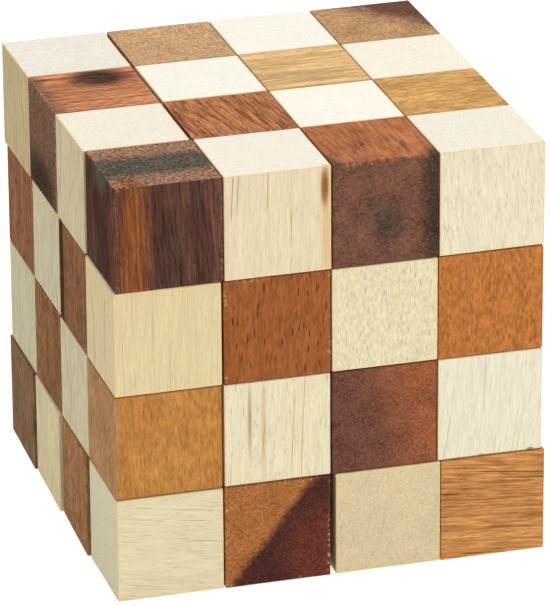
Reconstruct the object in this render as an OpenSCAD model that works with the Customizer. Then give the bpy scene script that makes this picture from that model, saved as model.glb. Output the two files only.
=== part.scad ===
// Twisty snake puzzle: wooden cubes, dark and pale by turns, strung on one elastic cord
// and folded into a 4 x 4 x 4 block. The cord visits the block layer by layer, and each
// layer row by row, so a row is four cubes in a line. Millimetres, +Z up. The origin is
// the middle of the block's underside, and the front of the block faces -Y.

/* [Cubes] */
// Side of one wooden cube
cube_side = 14.8; // [12:0.05:18]
// Gap between neighbouring cubes in the folded block
fold_gap = 0.2; // [0.1:0.05:0.5]
// Width that sanding takes off each edge of a cube
edge_flat = 0.25; // [0.1:0.05:0.6]
// Colour of the dark wood
dark_wood = "sienna"; // [sienna, saddlebrown, peru]
// Colour of the pale wood
pale_wood = "blanchedalmond"; // [blanchedalmond, wheat, cornsilk]

/* [Cord] */
// Diameter of the hole drilled through each cube
bore_d = 3.6; // [3.2:0.1:4]
// Diameter of the elastic cord
cord_d = 2.2; // [1.6:0.1:2.4]
// Bend radius of the cord's middle inside a corner cube
bend_r = 2; // [1.6:0.1:2.2]
// Farthest that two neighbours draw apart against the cord
stretch = 4; // [2:0.5:4]

/* [End plugs] */
// Length of the dowel plug that holds each end of the cord
plug_len = 5; // [3:0.5:6]
// Thickness of the glue line around a plug
glue_line = 0.02; // [0.01:0.01:0.05]

/* [Route] */
// Column and row of the first cube in each layer, bottom layer first
layer_start = [[3, 0], [3, 3], [0, 3], [3, 3]];
// Way that the first row of each layer runs
layer_run = [[-1, 0], [0, -1], [0, -1], [0, -1]];
// Way from one row to the next in each layer
layer_step = [[0, 1], [-1, 0], [1, 0], [-1, 0]];

/* [Hidden] */
n = 4;
cubes = n * n * n;
pitch = cube_side + fold_gap;
half = cube_side / 2;
// Each stretch of cord reaches this far past the meeting plane, so the cord still
// bridges the gap when two cubes are drawn apart
reach = stretch + 1;
round_fn = 48;

function two_digits(r) = str(r < 10 ? "0" : "", r);
function cubes_node(r, dark) =
    str("row_", two_digits(r), dark ? "_dark_cubes" : "_pale_cubes");
function cord_node(r) = str("row_", two_digits(r), "_cord");
function link_node(k) = str("layer_link_cord_", k);

// Column, row and layer of cube i, counted from 0 along the cord
function cell(i) =
    let (k = floor(i / (n * n)), j = floor(i / n) % n, m = i % n)
    let (along = j % 2 == 0 ? m : n - 1 - m)
    let (place = layer_start[k] + along * layer_run[k] + j * layer_step[k])
    [place.x, place.y, k];
function centre(i) =
    let (c = cell(i))
    [(c.x - (n - 1) / 2) * pitch, (c.y - (n - 1) / 2) * pitch, half + c.z * pitch];
// Unit steps from cube i to the next cube and to the one before it. The two end cubes
// are drilled straight through, so their free side is opposite their neighbour.
function to_next(i) = i < cubes - 1 ? cell(i + 1) - cell(i) : cell(i) - cell(i - 1);
function to_last(i) = i > 0 ? cell(i - 1) - cell(i) : cell(i) - cell(i + 1);
function is_straight(i) = to_next(i) == -to_last(i);
function starts_row(i) = i % n == 0;
function ends_row(i) = i % n == n - 1;
function starts_layer(i) = i % (n * n) == 0;

// How far from the middle of cube i its row's stretch of cord begins and ends
function cord_from(i) =
    i == 0 ? half - plug_len
    : starts_layer(i) ? pitch / 2 - reach
    : starts_row(i) ? pitch / 2 + reach
    : pitch / 2;
function cord_to(i) =
    i == cubes - 1 ? half - plug_len
    : ends_row(i) ? pitch / 2 - reach
    : pitch / 2;

// Turns +Z to a unit step along an axis
module aim(way) rotate([way.z < 0 ? 180 : -90 * way.y, 90 * way.x, 0]) children();

// A round rod along a unit step, between two distances from the origin
module rod(way, from, to, d)
    aim(way) translate([0, 0, from]) cylinder(d = d, h = to - from, $fn = round_fn);

function turned(p, a) = [p.x * cos(a) - p.y * sin(a), p.x * sin(a) + p.y * cos(a)];

// A square bar with its four long edges sanded flat
module sanded_bar() {
    cut = half - edge_flat;
    outline = [for (a = [0:90:270]) each [turned([half, cut], a), turned([cut, half], a)]];
    linear_extrude(cube_side, center = true) polygon(outline);
}

module sanded_cube() {
    intersection() {
        sanded_bar();
        rotate([90, 0, 0]) sanded_bar();
        rotate([0, 90, 0]) sanded_bar();
    }
}

// One cube of the snake: drilled through, or from two sides that meet at a right angle
module snake_cube(i) {
    translate(centre(i)) difference() {
        sanded_cube();
        rod(to_last(i), -bore_d / 2, pitch, bore_d);
        rod(to_next(i), -bore_d / 2, pitch, bore_d);
    }
}

// The cord's quarter turn from one unit step to another, about the crossing of the bores
module cord_bend(a, b) {
    up = cross(b, a);
    turn = [
        [-b.x, -a.x, up.x, 0],
        [-b.y, -a.y, up.y, 0],
        [-b.z, -a.z, up.z, 0],
        [0, 0, 0, 1],
    ];
    translate(bend_r * (a + b)) multmatrix(turn)
        rotate_extrude(angle = 90, $fn = round_fn)
            translate([bend_r, 0]) circle(d = cord_d, $fn = round_fn);
}

// The cord inside cube i
module cord_in_cube(i) {
    inner = is_straight(i) ? 0 : bend_r;
    translate(centre(i)) {
        rod(to_last(i), inner, cord_from(i), cord_d);
        rod(to_next(i), inner, cord_to(i), cord_d);
        if (!is_straight(i)) cord_bend(to_last(i), to_next(i));
    }
}

// Cubes of row r that are dark, or pale. The first cube on the cord is dark.
module row_cubes(r, dark)
    color(dark ? dark_wood : pale_wood)
        for (i = [n * (r - 1) : n * r - 1]) if ((i % 2 == 0) == dark) snake_cube(i);

// The stretch of cord that row r carries
module row_cord(r) color("ivory") for (i = [n * (r - 1) : n * r - 1]) cord_in_cube(i);

// The short stretch of cord that passes from layer k up to the next one
module link_cord(k) {
    lower = centre(k * n * n - 1);
    color("ivory") translate(lower + [0, 0, pitch / 2]) rod([0, 0, 1], -reach, reach, cord_d);
}

// A glued dowel, flush with the free side of an end cube
module end_plug(i, way)
    color("burlywood") translate(centre(i))
        rod(way, half - plug_len, half, bore_d - 2 * glue_line);

for (r = [1:16]) {
    row_cubes(r, true);
    row_cubes(r, false);
    row_cord(r);
}
for (k = [1:3]) link_cord(k);
end_plug(0, to_last(0));  // first_end_plug
end_plug(cubes - 1, to_next(cubes - 1));  // last_end_plug
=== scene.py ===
import math
import random

import bpy
from mathutils import Euler, Matrix, Vector, noise


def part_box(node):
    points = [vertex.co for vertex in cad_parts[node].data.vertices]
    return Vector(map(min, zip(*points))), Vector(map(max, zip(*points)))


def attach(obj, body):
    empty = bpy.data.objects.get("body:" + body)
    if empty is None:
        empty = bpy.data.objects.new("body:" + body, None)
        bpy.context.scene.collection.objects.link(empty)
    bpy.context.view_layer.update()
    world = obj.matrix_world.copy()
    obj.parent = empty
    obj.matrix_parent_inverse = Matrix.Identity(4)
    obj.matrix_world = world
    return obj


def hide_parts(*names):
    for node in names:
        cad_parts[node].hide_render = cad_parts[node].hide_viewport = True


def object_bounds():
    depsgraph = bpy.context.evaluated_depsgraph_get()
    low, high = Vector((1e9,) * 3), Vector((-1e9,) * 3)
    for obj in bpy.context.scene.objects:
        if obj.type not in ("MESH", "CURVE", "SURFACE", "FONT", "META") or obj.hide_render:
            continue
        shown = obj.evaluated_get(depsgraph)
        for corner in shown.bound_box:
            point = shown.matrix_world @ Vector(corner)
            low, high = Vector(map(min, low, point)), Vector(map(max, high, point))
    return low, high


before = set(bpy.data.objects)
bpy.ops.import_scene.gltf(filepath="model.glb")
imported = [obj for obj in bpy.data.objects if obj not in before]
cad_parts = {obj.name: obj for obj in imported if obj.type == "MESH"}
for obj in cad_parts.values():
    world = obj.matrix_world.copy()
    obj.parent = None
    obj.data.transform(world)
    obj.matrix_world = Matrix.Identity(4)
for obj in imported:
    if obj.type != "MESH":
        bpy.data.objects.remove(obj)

cad_low, cad_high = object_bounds()

MM = 0.001


# ---------------------------------------------------------------- places in the block

# The cord's route, as the CAD has it: column and row of each layer's first cube, the way
# its first row runs, and the way from one row to the next, bottom layer first.
N = 4
LAYER_START = ((3, 0), (3, 3), (0, 3), (3, 3))
LAYER_RUN = ((-1, 0), (0, -1), (0, -1), (0, -1))
LAYER_STEP = ((0, 1), (-1, 0), (1, 0), (-1, 0))

first_low, first_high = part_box("row_01_dark_cubes")
SIDE = min(first_high - first_low)
PITCH = (cad_high.z - cad_low.z - SIDE) / (N - 1)
BORE_RADIUS = 1.8 * MM


def cell(i):
    """Column, row and layer of cube i, counted from 0 along the cord."""
    layer, row, m = i // (N * N), i // N % N, i % N
    along = m if row % 2 == 0 else N - 1 - m
    start, run, step = LAYER_START[layer], LAYER_RUN[layer], LAYER_STEP[layer]
    return Vector([s + along * r + row * t for s, r, t in zip(start, run, step)] + [layer])


def centre(i):
    """Middle of cube i, in metres."""
    return cad_low + Vector((SIDE, SIDE, SIDE)) / 2 + cell(i) * PITCH


def bore_ways(i):
    """Unit steps from cube i towards the two sides that its bore opens on."""
    last = cell(i - 1) - cell(i) if i > 0 else cell(i) - cell(i + 1)
    following = cell(i + 1) - cell(i) if i < N**3 - 1 else cell(i) - cell(i - 1)
    return last, following


# ---------------------------------------------------------------- stage, camera, light


def paint(code):
    """A colour's linear red, green, blue and alpha, from its usual hexadecimal code."""
    parts = [int(code[k : k + 2], 16) / 255 for k in (0, 2, 4)]
    return tuple(c / 12.92 if c <= 0.04045 else ((c + 0.055) / 1.055) ** 2.4 for c in parts) + (1,)


def link(obj):
    bpy.context.scene.collection.objects.link(obj)
    return obj


CAMERA_LENS = 326.8
CAMERA_PLACE = (-0.1988, -0.6816, 0.3207)
# Turn to the side, tilt down and roll, in degrees
CAMERA_ANGLES = (16.32, 22.38, -0.42)


def add_camera():
    """A long lens, above the block and to the left of its front."""
    data = bpy.data.cameras.new("camera")
    data.lens = CAMERA_LENS
    data.clip_start, data.clip_end = 0.05, 20
    cam = link(bpy.data.objects.new("camera", data))
    azimuth, elevation, roll = (math.radians(a) for a in CAMERA_ANGLES)
    turn = Euler((math.pi / 2 - elevation, 0, -azimuth)).to_matrix() @ Matrix.Rotation(roll, 3, "Z")
    cam.matrix_world = Matrix.Translation(CAMERA_PLACE) @ turn.to_4x4()
    bpy.context.scene.camera = cam


def add_area(name, place, target, size, power, colour):
    data = bpy.data.lights.new(name, "AREA")
    data.shape, data.size, data.energy, data.color = "DISK", size, power, colour
    lamp = link(bpy.data.objects.new(name, data))
    lamp.location = place
    lamp.rotation_euler = (Vector(target) - Vector(place)).to_track_quat("-Z", "Y").to_euler()


def add_studio():
    scene = bpy.context.scene
    scene.view_settings.view_transform = "Standard"
    world = bpy.data.worlds.new("studio")
    world.use_nodes = True
    world.node_tree.nodes["Background"].inputs["Color"].default_value = (1.0, 0.99, 0.97, 1)
    world.node_tree.nodes["Background"].inputs["Strength"].default_value = 0.28
    scene.world = world
    middle = (0, 0, 0.03)
    add_area("overhead", (0.05, 0.1, 0.9), middle, 0.7, 7.0, (1, 1, 1))
    add_area("front_fill", (0.35, -0.9, 0.35), middle, 0.6, 3.8, (1, 0.985, 0.96))
    add_area("left_fill", (-0.9, -0.1, 0.3), middle, 0.5, 0.95, (0.96, 0.98, 1))

    mesh = bpy.data.meshes.new("floor")
    r = 3.0
    mesh.from_pydata([(-r, -r, 0), (r, -r, 0), (r, r, 0), (-r, r, 0)], [], [(0, 1, 2, 3)])
    floor = link(bpy.data.objects.new("floor", mesh))
    floor.location.z = cad_low.z - 0.05 * MM
    skin = bpy.data.materials.new("floor")
    skin.use_nodes = True
    shader = skin.node_tree.nodes["Principled BSDF"]
    shader.inputs["Base Color"].default_value = (0.4, 0.4, 0.4, 1)
    shader.inputs["Roughness"].default_value = 0.9
    shader.inputs["Emission Color"].default_value = (1, 1, 1, 1)
    shader.inputs["Emission Strength"].default_value = 0.8
    mesh.materials.append(skin)


# ---------------------------------------------------------------- node trees


class Tree:
    """Adds nodes to a node tree. An input is a socket to link or a plain value."""

    def __init__(self, tree):
        self.tree = tree

    def add(self, kind, inputs, out=0, **settings):
        node = self.tree.nodes.new(kind)
        for key, value in settings.items():
            setattr(node, key, value)
        for key, value in inputs.items():
            if isinstance(value, bpy.types.NodeSocket):
                self.tree.links.new(value, node.inputs[key])
            else:
                node.inputs[key].default_value = value
        return node.outputs[out]

    def math(self, operation, a, b=0.0):
        return self.add("ShaderNodeMath", {0: a, 1: b}, operation=operation)

    def vector(self, operation, a, b=(0, 0, 0)):
        return self.add("ShaderNodeVectorMath", {0: a, 1: b}, operation=operation)

    def dot(self, a, b):
        return self.add("ShaderNodeVectorMath", {0: a, 1: b}, "Value", operation="DOT_PRODUCT")

    def turn(self, place, angles):
        inputs = {"Vector": place, "Rotation": angles}
        return self.add("ShaderNodeVectorRotate", inputs, rotation_type="EULER_XYZ")

    def smooth(self, value, low, high, to_low=0.0, to_high=1.0):
        """Runs smoothly from to_low to to_high as value goes from low to high."""
        inputs = {"Value": value, "From Min": low, "From Max": high}
        inputs.update({"To Min": to_low, "To Max": to_high})
        return self.add("ShaderNodeMapRange", inputs, interpolation_type="SMOOTHSTEP")

    def noise(self, place, detail=3.0, roughness=0.55):
        inputs = {"Vector": place, "Scale": 1.0, "Detail": detail, "Roughness": roughness}
        return self.add("ShaderNodeTexNoise", inputs)

    def mix(self, factor, a, b, blend="MIX"):
        inputs = {"Factor": factor, 6: a, 7: b}
        return self.add("ShaderNodeMix", inputs, 2, data_type="RGBA", blend_type=blend)


# Every wood setting, with the value it has where a cube says nothing else. Lengths are in
# cube sides, and places are counted from the middle of the cube.
WOOD = {
    "Fibre": (0.0, 0.0, 0.0),
    "Seed": (0.0, 0.0, 0.0),
    "Base": paint("E4D4B4"),
    "Streak": paint("D0B98E"),
    "Streaks": 0.5,
    "Streak width": 0.1,
    "Band": paint("E4D4B4"),
    "Bands": 0.0,
    "Fine": 0.10,
    "Fine length": 0.3,
    "Mottle": 0.0,
    "Pore": paint("B09A70"),
    "Pores": 0.3,
    "Pore width": 0.016,
    "Lines": 0.0,
    "Line": paint("A58A60"),
    "Zone": paint("E4D4B4"),
    "Zone way": (1.0, 0.0, 0.0),
    "Zone edge": 9.0,
    "Zone blur": 0.1,
    "Spot": paint("E4D4B4"),
    "Spot place": (9.0, 0.0, 0.0),
    "Spot size": (0.2, 0.2, 0.2),
    "Spot blur": 0.4,
    "Stain": paint("E4D4B4"),
    "Stain place": (9.0, 0.0, 0.0),
    "Stain size": (0.2, 0.2, 0.2),
    "Stain blur": 0.4,
    "Ragged": 1.0,
    # End: the colour of end grain; on the pale woods it whitens the top faces, a painted highlight
    "End": paint("E7E2D4"),
    "Ends": 0.0,
    "End calm": 0.85,
    # Edge and Edges: a tint along the edges, partly burnish and partly painted light: seam shade on
    # dark woods, a highlight on pale ones
    "Edge": paint("E8D2A4"),
    "Edges": 0.3,
    "Chip": paint("D9B98C"),
    "Chips": 0.0,
}


def socket_type(value):
    if isinstance(value, float):
        return "NodeSocketFloat"
    return "NodeSocketColor" if len(value) == 4 else "NodeSocketVector"


def wood_group():
    """Solid wood: streaks and pores run along the fibre, and a zone, a spot and a stain
    hold other colours."""
    group = bpy.data.node_groups.new("solid_wood", "ShaderNodeTree")
    for name, value in WOOD.items():
        group.interface.new_socket(name, in_out="INPUT", socket_type=socket_type(value))
    for name, kind in (("Color", "Color"), ("Roughness", "Float"), ("Height", "Float")):
        group.interface.new_socket(name, in_out="OUTPUT", socket_type=f"NodeSocket{kind}")
    t = Tree(group)
    given = group.nodes.new("NodeGroupInput").outputs
    result = group.nodes.new("NodeGroupOutput").inputs

    place = t.add("ShaderNodeTexCoord", {}, "Object")
    place = t.vector("MULTIPLY", place, (1 / PITCH,) * 3)
    turned = t.turn(place, given["Fibre"])
    wander = t.noise(t.vector("MULTIPLY", t.vector("ADD", turned, given["Seed"]), (1.1, 1.1, 0.3)), 1.0)
    bend = t.math("MULTIPLY", t.math("SUBTRACT", wander, 0.5), 0.3)
    bent = t.add("ShaderNodeCombineXYZ", {"X": bend, "Y": bend, "Z": 0.0})
    fibre = t.vector("ADD", t.vector("ADD", turned, given["Seed"]), bent)

    # colour: streaks, end grain, then the zone, spot and stain, then a broad mottle and
    # fine fibres. On the pale woods the end grain colour whitens the tops: a painted highlight.
    squeeze = t.math("DIVIDE", 1.0, given["Streak width"])
    along = t.math("MULTIPLY", squeeze, 0.03)
    stretch = t.add("ShaderNodeCombineXYZ", {"X": squeeze, "Y": squeeze, "Z": along})
    streak = t.smooth(t.noise(t.vector("MULTIPLY", fibre, stretch), 5.0, 0.72), 0.38, 0.64)
    streak = t.math("MULTIPLY", streak, given["Streaks"])
    band = t.smooth(t.noise(t.vector("MULTIPLY", fibre, (3.0, 3.0, 0.3)), 3.0, 0.6), 0.4, 0.6)
    colour = t.mix(t.math("MULTIPLY", band, given["Bands"]), given["Base"], given["Band"])
    colour = t.mix(streak, colour, given["Streak"])
    shade = t.math("SUBTRACT", 1.0, t.math("MULTIPLY", streak, 0.3))
    shade = t.add("ShaderNodeCombineColor", {0: shade, 1: shade, 2: shade})
    ripple = t.noise(t.vector("MULTIPLY", fibre, (9, 9, 2)), 4.0, 0.6)
    ragged = t.math("MULTIPLY", given["Ragged"], 0.3)
    ripple = t.math("MULTIPLY", t.math("SUBTRACT", ripple, 0.5), ragged)

    # end grain: faces across the fibre take the End colour, which on the pale woods is a painted
    # highlight on the tops
    facing = t.add("ShaderNodeTexCoord", {}, "Normal")
    facing = t.turn(facing, given["Fibre"])
    facing = t.math("ABSOLUTE", t.add("ShaderNodeSeparateXYZ", {"Vector": facing}, 2))
    end = t.math("MULTIPLY", t.smooth(facing, 0.75, 0.95), given["Ends"])
    active = t.math("SUBTRACT", 1.0, t.math("MULTIPLY", end, given["End calm"]))
    end_shade = t.math("SUBTRACT", 1.0, t.math("MULTIPLY", t.math("MULTIPLY", streak, active), 0.3))
    end_shade = t.add("ShaderNodeCombineColor", {0: end_shade, 1: end_shade, 2: end_shade})
    colour = t.mix(end, colour, t.mix(1.0, given["End"], end_shade, "MULTIPLY"))

    reach = t.math("ADD", t.dot(place, given["Zone way"]), ripple)
    reach = t.math("DIVIDE", t.math("SUBTRACT", reach, given["Zone edge"]), given["Zone blur"])
    colour = t.mix(t.smooth(reach, -0.5, 0.5), colour, t.mix(1.0, given["Zone"], shade, "MULTIPLY"))
    for spot in ("Spot", "Stain"):
        away = t.vector("SUBTRACT", place, given[f"{spot} place"])
        away = t.vector("DIVIDE", away, given[f"{spot} size"])
        reach = t.add("ShaderNodeVectorMath", {0: away}, "Value", operation="LENGTH")
        reach = t.math("SUBTRACT", 1.0, t.math("ADD", reach, t.math("MULTIPLY", ripple, 0.9)))
        inside = t.smooth(t.math("DIVIDE", reach, given[f"{spot} blur"]), -0.5, 0.5)
        colour = t.mix(inside, colour, t.mix(1.0, given[spot], shade, "MULTIPLY"))

    broad = t.noise(t.vector("MULTIPLY", t.vector("ADD", place, given["Seed"]), (4, 4, 4)), 5.0, 0.7)
    cloud = t.math("MULTIPLY", t.math("SUBTRACT", broad, 0.5), given["Mottle"])
    along = t.math("DIVIDE", 1.0, given["Fine length"])
    stretch = t.add("ShaderNodeCombineXYZ", {"X": 42.0, "Y": 42.0, "Z": along})
    fine = t.noise(t.vector("MULTIPLY", fibre, stretch), 2.0, 0.6)
    hair = t.math("MULTIPLY", t.math("SUBTRACT", fine, 0.5), given["Fine"])
    hair = t.math("MULTIPLY", hair, active)
    level = t.math("ADD", 1.0, t.math("MULTIPLY", t.math("ADD", cloud, hair), 2.0))
    level = t.add("ShaderNodeCombineColor", {0: level, 1: level, 2: level})
    colour = t.mix(1.0, colour, level, "MULTIPLY")

    # thin growth lines, each there for only some of its length
    across = t.math("MULTIPLY", t.dot(fibre, (1.0, 0.35, 0.0)), 6.0)
    layer = {"voronoi_dimensions": "1D"}
    off_line = t.add("ShaderNodeTexVoronoi", {"W": across, "Scale": 1.0}, "Distance", **layer)
    line = t.smooth(off_line, 0.0, 0.045, 1.0, 0.0)
    broken = t.smooth(t.noise(t.vector("MULTIPLY", fibre, (5, 5, 1.6)), 2.0), 0.46, 0.6)
    shown = t.math("MULTIPLY", active, given["Lines"])
    line = t.math("MULTIPLY", t.math("MULTIPLY", line, broken), shown)
    colour = t.mix(line, colour, given["Line"])

    # pores: short dashes along the fibre, and dots where the fibre ends
    dense = t.math("DIVIDE", 0.5, given["Pore width"])
    long = t.math("MULTIPLY", dense, 0.15)
    scale = t.add("ShaderNodeCombineXYZ", {"X": dense, "Y": dense, "Z": long})
    at = t.vector("MULTIPLY", fibre, scale)
    near = t.add("ShaderNodeTexVoronoi", {"Vector": at, "Scale": 1.0, "Randomness": 1.0}, "Distance")
    pick = t.add("ShaderNodeTexVoronoi", {"Vector": at, "Scale": 1.0, "Randomness": 1.0}, "Color")
    chosen = t.smooth(t.add("ShaderNodeSeparateColor", {"Color": pick}), 0.15, 0.6)
    pore = t.math("MULTIPLY", t.smooth(near, 0.14, 0.32, 1.0, 0.0), chosen)
    colour = t.mix(t.math("MULTIPLY", pore, given["Pores"]), colour, given["Pore"])

    # edges: partly a burnished tint and partly painted light: a darker edge on the dark
    # woods is painted shade of the seams between cubes, a peach edge on the pale woods is a
    # painted highlight
    size = t.vector("ABSOLUTE", place)
    x, y, z = (t.add("ShaderNodeSeparateXYZ", {"Vector": size}, k) for k in range(3))
    second = t.math("MAXIMUM", t.math("MINIMUM", x, y), t.math("MINIMUM", z, t.math("MAXIMUM", x, y)))
    uneven = t.noise(t.vector("MULTIPLY", place, (9, 9, 9)), 3.0)
    rough_edge = t.math("MULTIPLY", t.math("SUBTRACT", uneven, 0.5), 0.02)
    edge = t.smooth(t.math("ADD", second, rough_edge), 0.474, 0.493)
    colour = t.mix(t.math("MULTIPLY", edge, given["Edges"]), colour, given["Edge"])
    torn = t.smooth(t.noise(t.vector("MULTIPLY", place, (26, 26, 26)), 2.0), 0.53, 0.6)
    torn = t.math("MULTIPLY", torn, t.smooth(t.math("ADD", second, rough_edge), 0.455, 0.485))
    torn = t.math("MULTIPLY", torn, t.smooth(broad, 0.48, 0.56))
    colour = t.mix(t.math("MULTIPLY", torn, given["Chips"]), colour, given["Chip"])

    rough = t.math("ADD", 0.52, t.math("MULTIPLY", t.math("SUBTRACT", fine, 0.5), 0.2))
    height = t.math("SUBTRACT", t.math("MULTIPLY", fine, 0.5), t.math("MULTIPLY", pore, given["Pores"]))
    for socket, value in zip(result, (colour, rough, height)):
        group.links.new(value, socket)
    return group


def wood_material(name, settings, group):
    skin = bpy.data.materials.new(name)
    skin.use_nodes = True
    t = Tree(skin.node_tree)
    shader = skin.node_tree.nodes["Principled BSDF"]
    wood = skin.node_tree.nodes.new("ShaderNodeGroup")
    wood.node_tree = group
    for key, value in {**WOOD, **settings}.items():
        wood.inputs[key].default_value = value
    relief = {"Height": wood.outputs["Height"], "Strength": 0.35, "Distance": 0.08 * MM}
    bump = t.add("ShaderNodeBump", relief)
    links = skin.node_tree.links
    links.new(wood.outputs["Color"], shader.inputs["Base Color"])
    links.new(wood.outputs["Roughness"], shader.inputs["Roughness"])
    links.new(bump, shader.inputs["Normal"])
    shader.inputs["Specular IOR Level"].default_value = 0.0
    return skin


# ---------------------------------------------------------------- woods

# Turns that bring the fibre upright, left to right, or front to back
UP, ACROSS, DEEP = (0.0, 0.0, 0.0), (0.0, 1.5708, 0.0), (1.5708, 0.0, 0.0)

# Each wood: how much lighter or darker its streaks, pores and edges are than its base,
# and the rest of its settings. Darker edges are painted shade of the seams between cubes.
TIMBER = {
    "cream": {
        "shades": (0.87, 0.58, 1.0), "Streaks": 0.42, "Streak width": 0.04, "Fine": 0.18,
        # Ends whitens the tops of the pale woods: a painted highlight
        "Pores": 0.25, "Pore width": 0.012, "Ends": 0.8, "Edges": 0.55,
    },
    "rosewood": {
        "shades": (0.4, 0.15, 0.5), "Streaks": 0.85, "Streak width": 0.035, "Fine": 1.0,
        "Pores": 0.5, "Pore width": 0.01, "Edges": 0.3, "Chips": 0.2, "End calm": -0.8,
    },
    "walnut": {
        "shades": (0.72, 1.6, 0.5), "Streaks": 0.5, "Streak width": 0.2, "Fine": 0.8,
        "Mottle": 0.6, "Pores": 0.55, "Pore width": 0.011, "Edges": 0.3,
    },
    "mahogany": {
        "shades": (0.72, 0.3, 0.7), "Streaks": 0.6, "Streak width": 0.12, "Fine": 0.6,
        "Fine length": 0.12, "Mottle": 0.2, "Pores": 0.85, "Pore width": 0.014, "Edges": 0.25,
        "Chips": 0.4,
    },
    "teak": {
        "shades": (0.75, 0.42, 0.75), "Streaks": 0.6, "Streak width": 0.06, "Fine": 0.75,
        "Fine length": 0.1, "Mottle": 0.25, "Pores": 0.4, "Pore width": 0.012, "Edges": 0.25,
    },
    "honey": {
        "shades": (0.48, 0.3, 0.7), "Streaks": 0.85, "Streak width": 0.03, "Fine": 0.6,
        "Fine length": 0.2, "Mottle": 0.15, "Pores": 0.6, "Pore width": 0.013, "Edges": 0.25,
    },
}
DARK = (
    ("rosewood", "654334"),
    ("walnut", "745140"),
    ("mahogany", "985932"),
    ("teak", "B5733C"),
    ("honey", "CC9960"),
)
PALE = (("cream", "E4D4B4"), ("cream", "E1CFA6"), ("cream", "E7E0C6"), ("cream", "D9C79E"))


def wood(kind, base, fibre, **extra):
    """Settings of one cube. In extra, names are lower case with _ for a space, and colours
    are codes."""
    named = {"Base": paint(base), **TIMBER[kind]}
    shades = named.pop("shades")
    for key, shade in zip(("Streak", "Pore", "Edge"), shades):
        named[key] = tuple(min(c * shade, 0.95) for c in named["Base"][:3]) + (1,)
    # a peach edge on the pale woods: a painted highlight
    if kind == "cream":
        named["Edge"] = paint("E9C591")
    for key, value in extra.items():
        named[key.replace("_", " ").capitalize()] = paint(value) if isinstance(value, str) else value
    return {**named, "Fibre": fibre}


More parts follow.
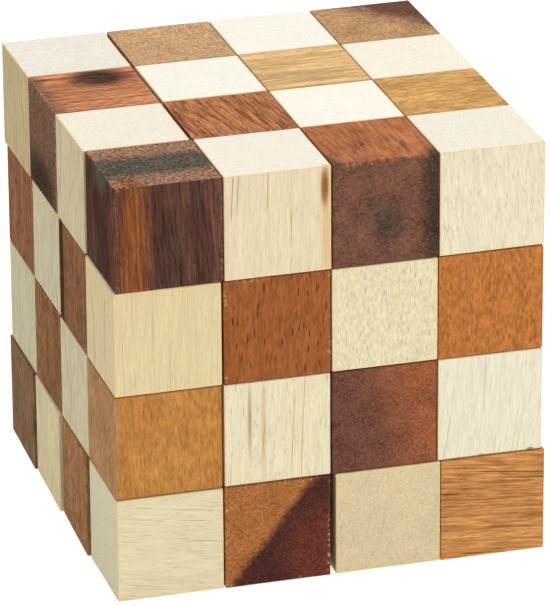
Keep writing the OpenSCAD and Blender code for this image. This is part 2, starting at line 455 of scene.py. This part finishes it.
# The cubes that have a look of their own, by column, row and layer. The rest take a wood
# and a fibre direction at random.
LOOKS = {
    # top layer, front row
    (0, 0, 3): wood(
        "rosewood", "6F4B3E", UP, band="463230", bands=0.8, end="A98068", ends=0.85,
        spot="8A5230", spot_place=(-0.32, -0.5, -0.1), spot_size=(0.13, 0.3, 0.9), spot_blur=1.1,
        stain="5C544A", stain_place=(0.0, 0.0, 0.5), stain_size=(2.5, 0.23, 0.2), stain_blur=0.9,
    ),
    (1, 0, 3): wood(
        "cream", "E2D2B2", UP, lines=0.9, end="E3DFD6", ragged=0.5, spot="DFC296",
        spot_place=(0.46, -0.5, 0.0), spot_size=(0.07, 0.06, 0.6), spot_blur=0.8, stain="9A6238",
        stain_place=(0.435, -0.5, 0.3), stain_size=(0.035, 0.06, 0.17), stain_blur=1.1,
    ),
    (2, 0, 3): wood(
        "walnut", "745040", DEEP, zone="A96B48", zone_way=(0.0, 0.1, 1.0), zone_edge=0.45,
        zone_blur=0.04, spot="4A352E", spot_place=(0.5, -0.5, 0.1), spot_size=(0.15, 0.2, 0.8),
        spot_blur=1.2, stain="55433A", stain_place=(0.0, -0.5, -0.12),
        stain_size=(0.13, 0.2, 0.17), stain_blur=1.8,
    ),
    (3, 0, 3): wood("cream", "E4DABC", UP, pores=0.6, end="E1DCD0", fine=0.22, fine_length=0.15),
    # second layer, front row
    (0, 0, 2): wood("cream", "DCCA9E", UP, lines=0.5, fine=0.15),
    (1, 0, 2): wood("mahogany", "9C5C34", UP, pores=0.9, pore_width=0.0145, pore="56261A"),
    (2, 0, 2): wood(
        "cream", "E0D4B2", UP, pores=0.75, pore_width=0.01, fine=0.3, fine_length=0.06,
    ),
    (3, 0, 2): wood(
        "teak", "B7733C", UP, fine_length=0.07, streaks=0.4, mottle=0.12, edge="B7733A",
    ),
    # third layer, front row
    # its zone gives its left face a greyer tone: a painted sheen for that side
    (0, 0, 1): wood(
        "teak", "B67C3F", UP, band="A56A36", bands=0.5, streak="C08A4A", streaks=0.45, fine=0.55,
        ragged=0.3, zone="B0875E", zone_way=(-1.0, 0.0, 0.0), zone_edge=0.47, zone_blur=0.05,
        mottle=0.4,
    ),
    (1, 0, 1): wood(
        "cream", "E3DABC", UP, lines=1.0, pores=0.6, line="A8946A", band="E6D4AC", bands=0.4,
        spot="B4A986", spot_place=(-0.26, -0.5, 0.14), spot_size=(0.018, 0.2, 0.3), spot_blur=1.4,
        stain="DFC398", stain_place=(-0.13, -0.5, 0.02), stain_size=(0.022, 0.2, 0.5),
        stain_blur=1.2, ragged=0.6,
    ),
    (2, 0, 1): wood(
        "walnut", "704A3B", DEEP, zone="9A5B3B", zone_way=(1.0, 0.0, 0.3), zone_edge=0.12,
        zone_blur=0.75,
    ),
    # its spot and stain, two small dark marks on the bottom edge of its front, are painted shade in
    # notches there
    (3, 0, 1): wood(
        "cream", "E4DDC4", (0.0, -0.07, 0.0), lines=0.4, pores=0.3, fine=0.2, streaks=0.3,
        spot="6A4630", spot_place=(-0.08, -0.5, -0.5), spot_size=(0.035, 0.03, 0.022),
        spot_blur=0.8, stain="6A4630", stain_place=(0.39, -0.5, -0.5),
        stain_size=(0.04, 0.03, 0.024), stain_blur=0.8, ragged=1.6,
    ),
    # bottom layer, front row
    (0, 0, 0): wood("cream", "DFD1AE", (0.0, 1.45, 0.0), lines=0.7, pores=0.4, end="D6CFAF"),
    (1, 0, 0): wood(
        "mahogany", "AA6C3E", DEEP, zone="4E2E2A", zone_way=(0.77, 0.0, -0.63), zone_edge=-0.05,
        zone_blur=0.11, stain="6A382C", stain_place=(0.5, -0.5, -0.3), stain_size=(0.4, 2.0, 0.5),
        stain_blur=0.9, ragged=0.35, chip="C89A74", chips=0.9, pores=0.6, mottle=0.35, fine=0.8,
    ),
    (2, 0, 0): wood(
        "cream", "D5C39B", DEEP, mottle=0.18, fine=0.2, ends=0.0, pores=0.3, lines=0.5,
    ),
    (3, 0, 0): wood(
        "honey", "D0965A", (0.0, 1.5, 0.0), streak="8C5028", streaks=0.75, lines=1.0,
        line="5E381E", mottle=0.25,
    ),
    # top layer, behind the front row
    (0, 1, 3): wood(
        "cream", "D3C5A1", UP, end="E7E1D4", fine=0.4, lines=0.5, streaks=0.6, mottle=0.07,
    ),
    (1, 1, 3): wood(
        "mahogany", "B97D58", (1.5708, 0.0, 0.5), streaks=0.9, streak_width=0.03, streak="6A3A22",
    ),
    (2, 1, 3): wood("cream", "E7E0C6", UP, end="EAE6DC", mottle=0.05, end_calm=0.7),
    (3, 1, 3): wood(
        "honey", "CB9D61", (0.0, 1.3, 0.3), streaks=0.6, streak_width=0.06, mottle=0.5,
    ),
    (0, 2, 3): wood(
        "mahogany", "CA8C66", ACROSS, zone="80604E", zone_way=(-1.0, 0.0, -0.15), zone_edge=0.33,
        zone_blur=0.2, stain="4A3A30", stain_place=(-0.5, 0.1, -0.38),
        stain_size=(0.2, 0.5, 0.24), stain_blur=1.2, spot="4E3A34", spot_place=(0.12, 0.3, 0.5),
        spot_size=(0.26, 0.22, 0.3), spot_blur=1.0, streaks=0.9, streak_width=0.07,
        streak="8A4A30", fine=1.0,
    ),
    (1, 2, 3): wood("cream", "E7E0C6", UP, end="E7E4DA", mottle=0.05, end_calm=0.7),
    (2, 2, 3): wood("honey", "DDB681", ACROSS, streaks=0.75, streak_width=0.06, mottle=0.2),
    (3, 2, 3): wood("cream", "E7E0C6", UP, end="E5DFD0", mottle=0.05, end_calm=0.7),
    (0, 3, 3): wood(
        "cream", "C7B289", UP, end="E4E1DA", fine=0.4, lines=0.5, streaks=0.6, mottle=0.08,
    ),
    (1, 3, 3): wood("teak", "BE9972", UP, pores=0.5, fine=1.0),
    (2, 3, 3): wood("cream", "E7E0C6", UP, end="E8E4DA", mottle=0.05, end_calm=0.7),
    (3, 3, 3): wood(
        "teak", "B48D66", UP, zone="6E4A3E", zone_way=(0.7, 0.6, 0.0), zone_edge=0.17,
        zone_blur=0.3, mottle=0.5,
    ),
    # left side, behind the front row
    # its dark spot along the back edge of its left face is painted shade: the shaded gap to the cube
    # behind
    (0, 1, 2): wood(
        "mahogany", "8B6347", UP, spot="503528", spot_place=(-0.5, 0.5, 0.0),
        spot_size=(0.2, 0.16, 1.5), pores=0.7, mottle=0.5, fine=0.9, streaks=0.8,
    ),
    (0, 2, 2): wood("cream", "D0C4A5", UP, fine=0.4, lines=0.5, streaks=0.65, mottle=0.12),
    (0, 3, 2): wood("mahogany", "94684D", UP, pores=0.7, streaks=0.8, mottle=0.45, fine=0.9),
    (0, 1, 1): wood("cream", "D2C6A4", UP, fine=0.4, lines=0.7, streaks=0.65, mottle=0.12),
    (0, 2, 1): wood("mahogany", "916849", UP, pores=0.7, streaks=0.8, mottle=0.45, fine=0.9),
    (0, 3, 1): wood("cream", "CCC2A3", UP, fine=0.4, lines=0.5, streaks=0.65, mottle=0.12),
    (0, 1, 0): wood("mahogany", "A27651", UP, pores=0.7, streaks=0.8, mottle=0.45, fine=0.9),
    (0, 2, 0): wood("cream", "D9CAA3", UP, fine=0.4, lines=0.5, streaks=0.65, mottle=0.12),
    (0, 3, 0): wood("walnut", "86694E", UP),
}


# How the cubes stand on the slack cord, bottom layer first: the turn of each layer in
# degrees, and one slip in millimetres for each of its columns and for each of its rows.
LAYER_TURNS = (-0.35, -0.5, -0.4, 0.0)
SIDE_SLIPS = (
    (-0.20, -0.10, 0.10, 0.12),
    (-0.20, 0.00, 0.10, 0.15),
    (-0.15, 0.05, 0.10, 0.15),
    (-0.32, -0.02, 0.02, 0.04),
)
DEPTH_SLIPS = (
    (-0.30, 0.00, 0.40, 0.75),
    (-0.10, 0.00, 0.05, 0.10),
    (-0.05, 0.00, 0.05, 0.15),
    (-0.10, -0.05, 0.20, 0.30),
)
# Cubes that stand out of line, by column, row and layer: a slip to the right and a turn
OWN_STANDS = {
    (0, 0, 0): (-0.10, 0.0),
    (1, 0, 0): (-0.10, 0.0),
    (2, 0, 0): (0.42, 0.0),
    (3, 0, 0): (0.40, 0.0),
    (0, 1, 0): (-0.25, -1.5),
    (0, 2, 0): (-0.25, -1.5),
    (0, 3, 0): (-0.20, -1.2),
    (0, 0, 3): (0.27, 0.0),
}


def stand(i, rng):
    """Where cube i stands, slipped and turned from its even place."""
    column, row, layer = (int(k) for k in cell(i))
    own_slip, own_turn = OWN_STANDS.get((column, row, layer), (0, 0))
    slip = Vector((SIDE_SLIPS[layer][column] + own_slip, DEPTH_SLIPS[layer][row], 0.04))
    slip += Vector((rng.uniform(-0.02, 0.02), rng.uniform(-0.02, 0.02), 0))
    turns = (math.radians(a) for a in (LAYER_TURNS[layer], own_turn + rng.uniform(-0.1, 0.1)))
    layer_turn, cube_turn = (Matrix.Rotation(a, 4, "Z") for a in turns)
    return layer_turn @ Matrix.Translation(centre(i) + MM * slip) @ cube_turn


def is_dark(i):
    return i % 2 == 0


def look_of(i, rng):
    """The wood settings of cube i."""
    seed = tuple(rng.uniform(-40, 40) for _ in range(3))
    kind, base = rng.choice(DARK if is_dark(i) else PALE)
    plain = wood(kind, base, rng.choice((UP, ACROSS, DEEP)))
    settings = LOOKS.get(tuple(int(k) for k in cell(i)), plain)
    lean = tuple(a + rng.uniform(-0.05, 0.05) for a in settings["Fibre"])
    return {**settings, "Fibre": lean, "Seed": seed}


# ---------------------------------------------------------------- cubes

EDGE_ROUND = 0.17 * MM
INNER_STEPS = 12
# The cubes are drawn a little larger than the CAD's, so that the gaps look as thin as real
# ones
HALF = (SIDE + 0.08 * MM) / 2


def grid_lines():
    """Places of the mesh lines along one side of a cube, closer together at the edges."""
    near = [0, 0.35 * EDGE_ROUND, 0.7 * EDGE_ROUND, 1.15 * EDGE_ROUND, 1.9 * EDGE_ROUND]
    inner = HALF - near[-1]
    middle = [-inner + 2 * inner * k / INNER_STEPS for k in range(1, INNER_STEPS)]
    return [d - HALF for d in near] + middle + [HALF - d for d in reversed(near)]


def cube_mesh(name, rng):
    """A sawn and sanded cube about the origin: flat sides, and edges that are not all alike."""
    lines = grid_lines()
    top = len(lines) - 1
    index, points, faces = {}, [], []
    seed = Vector([rng.uniform(-50, 50) for _ in range(3)])

    def vertex(key):
        if key not in index:
            index[key] = len(points)
            p = Vector([lines[k] for k in key])
            wear = noise.noise(p * 260 + seed)
            radius = EDGE_ROUND * (0.85 + 0.45 * wear)
            flat = HALF - radius
            q = Vector([min(max(c, -flat), flat) for c in p])
            out = p - q
            points.append(q + out.normalized() * radius if out.length > 0 else p)
        return index[key]

    for axis in range(3):
        u, v = (axis + 1) % 3, (axis + 2) % 3
        for side in (0, top):
            for a in range(top):
                for b in range(top):
                    ring = [(a, b), (a + 1, b), (a + 1, b + 1), (a, b + 1)]
                    if side == 0:
                        ring.reverse()
                    corner = []
                    for s, t in ring:
                        key = [0, 0, 0]
                        key[axis], key[u], key[v] = side, s, t
                        corner.append(vertex(tuple(key)))
                    faces.append(corner)
    mesh = bpy.data.meshes.new(name)
    mesh.from_pydata(points, [], faces)
    mesh.shade_smooth()
    return mesh


def bore_cutter(place, way, skin):
    """A round rod from just past a cube's even place out through one side."""
    steps = 32
    reach = (-BORE_RADIUS, 1.2 * SIDE)
    rim = [(math.cos(2 * math.pi * k / steps), math.sin(2 * math.pi * k / steps)) for k in range(steps)]
    points = [(BORE_RADIUS * x, BORE_RADIUS * y, z) for z in reach for x, y in rim]
    faces = [(k, (k + 1) % steps, steps + (k + 1) % steps, steps + k) for k in range(steps)]
    faces += [tuple(reversed(range(steps))), tuple(range(steps, 2 * steps))]
    mesh = bpy.data.meshes.new("cutter")
    mesh.from_pydata(points, [], faces)
    mesh.materials.append(skin)
    cutter = link(bpy.data.objects.new("cutter", mesh))
    cutter.rotation_mode = "QUATERNION"
    cutter.rotation_quaternion = Vector(way).to_track_quat("Z", "Y")
    cutter.location = place
    return cutter


def drill(cube, i, skin):
    """Cuts the bores where the cord is, and keeps the result as the cube's own mesh."""
    cutters = [bore_cutter(centre(i), way, skin) for way in bore_ways(i)]
    for cutter in cutters:
        cut = cube.modifiers.new("bore", "BOOLEAN")
        cut.operation, cut.solver, cut.object = "DIFFERENCE", "EXACT", cutter
        cut.material_mode = "TRANSFER"
    bpy.context.view_layer.update()
    evaluated = cube.evaluated_get(bpy.context.evaluated_depsgraph_get())
    drilled = bpy.data.meshes.new_from_object(evaluated)
    cube.modifiers.clear()
    plain, cube.data = cube.data, drilled
    drilled.name = cube.name
    drilled.set_sharp_from_angle(angle=math.radians(40))
    bpy.data.meshes.remove(plain)
    for cutter in cutters:
        bpy.data.meshes.remove(cutter.data)


def add_cubes():
    group = wood_group()
    drilled_skins = {
        True: wood_material("drilled_dark_wood", wood("rosewood", "5D3A2E", UP), group),
        False: wood_material("drilled_pale_wood", wood("cream", "C9B48A", UP, fine=0.4), group),
    }
    for i in range(N**3):
        rng = random.Random(500 + i)
        settings = look_of(i, rng)
        name = f"cube_{i + 1:02d}"
        cube = link(bpy.data.objects.new(name, cube_mesh(name, rng)))
        cube.data.materials.append(wood_material(f"wood_{i + 1:02d}", settings, group))
        cube.matrix_world = stand(i, rng)
        drill(cube, i, drilled_skins[is_dark(i)])
        row = f"row_{i // N + 1:02d}"
        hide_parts(f"{row}_{'dark' if is_dark(i) else 'pale'}_cubes")
        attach(cube, row)
    return group


# ---------------------------------------------------------------- cord and plugs


def cord_material():
    """A braided textile cover: two sets of threads that cross."""
    skin = bpy.data.materials.new("braided_cord")
    skin.use_nodes = True
    t = Tree(skin.node_tree)
    shader = skin.node_tree.nodes["Principled BSDF"]
    place = t.add("ShaderNodeTexCoord", {}, "Object")
    threads = []
    for way in ((1.0, 1.0, 0.6), (-1.0, 1.0, -0.6)):
        wave = t.math("SINE", t.math("MULTIPLY", t.dot(place, way), 2 * math.pi / (0.55 * MM)))
        threads.append(wave)
    weave = t.math("MAXIMUM", *threads)
    # darker in the hollows between the threads: painted shade
    hollow_shade = t.smooth(weave, -0.4, 1.0)
    colour = t.mix(hollow_shade, paint("B8B2A2"), paint("EEEAE0"))
    bump = t.add("ShaderNodeBump", {"Height": weave, "Strength": 0.6, "Distance": 0.1 * MM})
    links = skin.node_tree.links
    links.new(colour, shader.inputs["Base Color"])
    links.new(bump, shader.inputs["Normal"])
    shader.inputs["Roughness"].default_value = 0.85
    return skin


def finish_cad_nodes(group):
    """The cord and the plugs keep their CAD shapes, and get their materials here."""
    cord = cord_material()
    dowel = wood_material("dowel_end", wood("cream", "CFA878", ACROSS), group)
    for name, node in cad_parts.items():
        if name.endswith("_plug"):
            skin = dowel
        elif "cord" in name:
            skin = cord
        else:
            continue
        node.data.materials.clear()
        node.data.materials.append(skin)


add_camera()
add_studio()
finish_cad_nodes(add_cubes())
